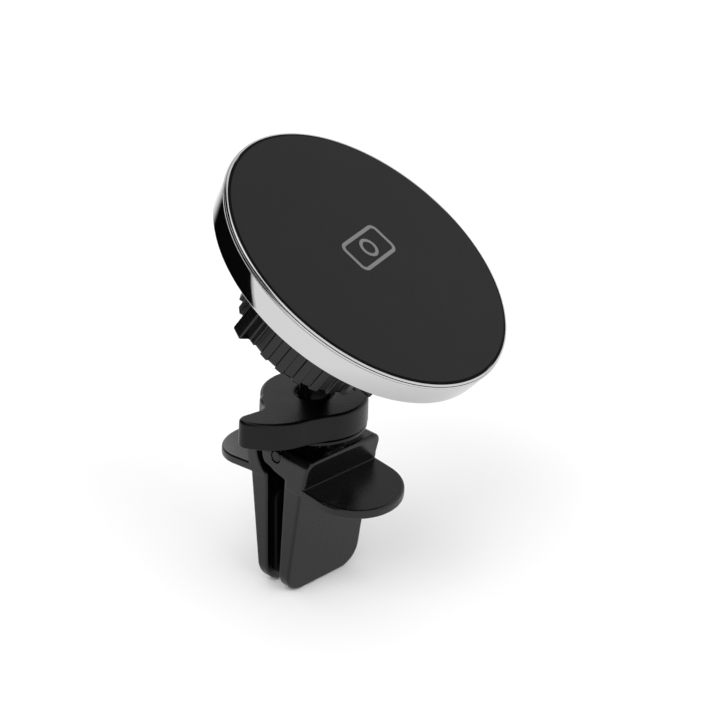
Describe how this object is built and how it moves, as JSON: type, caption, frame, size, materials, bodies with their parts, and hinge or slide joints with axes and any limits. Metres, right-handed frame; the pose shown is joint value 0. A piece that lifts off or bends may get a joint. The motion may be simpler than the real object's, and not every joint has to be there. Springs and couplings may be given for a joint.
{
  "type": "car phone mount",
  "caption": "Magnetic round-head phone mount on a ball joint, with a locking two-jaw clip for a car's air vent blade.",
  "frame": {"origin": "middle of the vent blade's place between the two pads", "axes": "+Z out of the vent towards the driver, parallel to the clip's axis; the blade and the hinge pin run along Y; the jaws open along X"},
  "size_m": [0.0563, 0.0603, 0.0876],
  "materials": {
    "jaw_plastic": "fine moulded texture, matte black",
    "pad_rubber": "soft matte black rubber",
    "pin_steel": "blackened steel pin, satin",
    "spring_steel": "drawn spring wire and strip, satin",
    "frame_plastic": "matte black, fine texture",
    "slide_plastic": "natural white acetal, smooth",
    "knob_plastic": "matte black with a fine spark texture",
    "ball_plastic": "smooth satin black",
    "liner_plastic": "natural low-friction plastic",
    "socket_plastic": "black glass-filled plastic",
    "screw_steel": "zinc-plated steel",
    "nut_plastic": "matte black with a fine spark texture",
    "housing_plastic": "matte black, fine texture",
    "carrier_plastic": "dark grey moulded plastic",
    "shunt_steel": "mild steel sheet, bright",
    "magnet_plating": "nickel-plated magnets",
    "bezel_chrome": "bright mirror chrome",
    "adhesive_film": "thin white double-sided film",
    "face_soft": "soft-touch dark grey, satin"
  },
  "bodies": {
    "clip": {"clip_frame": "frame_plastic", "hinge_pin": "pin_steel", "torsion_spring": "spring_steel", "wave_washer": "spring_steel", "ball_stem": "ball_plastic"},
    "right_jaw": {"jaw_right": "jaw_plastic", "pad_right": "pad_rubber"},
    "left_jaw": {"jaw_left": "jaw_plastic", "pad_left": "pad_rubber"},
    "knob": {"knob_lever": "knob_plastic", "cam_ring": "slide_plastic"},
    "pusher_ring": {"pusher": "slide_plastic"},
    "tilt_liner": {"ball_seat": "liner_plastic"},
    "side_liner": {"swivel_ring": "liner_plastic"},
    "head": {"socket_cup": "socket_plastic", "socket_screws": "screw_steel", "nut_washer": "spring_steel", "rear_housing": "housing_plastic", "housing_screws": "screw_steel", "magnet_carrier": "carrier_plastic", "shunt_ring": "shunt_steel", "magnet_segments": "magnet_plating", "bezel_ring": "bezel_chrome", "adhesive_disc": "adhesive_film", "face_plate": "face_soft"},
    "nut": {"lock_nut": "nut_plastic"}
  },
  "joints": [
    {"name": "jaw_open", "type": "hinge", "parent": "clip", "child": "right_jaw", "pos_m": [0, 0, 0.018], "axis": [0, -1, 0], "range_deg": [0, 8.5], "stiffness_Nm_per_rad": 0.12},
    {"name": "jaw_open_left", "type": "hinge", "parent": "clip", "child": "left_jaw", "pos_m": [0, 0, 0.018], "axis": [0, 1, 0], "range_deg": [0, 8.5], "stiffness_Nm_per_rad": 0.12},
    {"name": "lever_unlock", "type": "hinge", "parent": "clip", "child": "knob", "pos_m": [0, 0, 0.0259], "axis": [0, 0, 1], "range_deg": [0, 90]},
    {"name": "pusher_rise", "type": "slide", "parent": "clip", "child": "pusher_ring", "axis": [0, 0, 1], "range_m": [0, 0.001]},
    {"name": "head_tilt", "type": "hinge", "parent": "clip", "child": "tilt_liner", "pos_m": [0, 0, 0.04375], "axis": [-0.2949, 0.9555, 0], "range_deg": [-69.75, 2.25]},
    {"name": "head_side_tilt", "type": "hinge", "parent": "tilt_liner", "child": "side_liner", "pos_m": [0, 0, 0.04375], "axis": [-0.7945, -0.2452, 0.5556], "range_deg": [-18, 18]},
    {"name": "head_spin", "type": "hinge", "parent": "side_liner", "child": "head", "pos_m": [0, 0, 0.04375], "axis": [0.5309, 0.1638, 0.8315], "continuous": true},
    {"name": "nut_turn", "type": "hinge", "parent": "head", "child": "nut", "pos_m": [0, 0, 0.04375], "axis": [0.5309, 0.1638, 0.8315], "range_deg": [0, 90]}
  ],
  "couplings": [
    {"joint": "jaw_open_left", "follows": "jaw_open", "ratio": 1},
    {"joint": "lever_unlock", "follows": "pusher_rise", "rad_per_m": 1570.8}
  ]
}
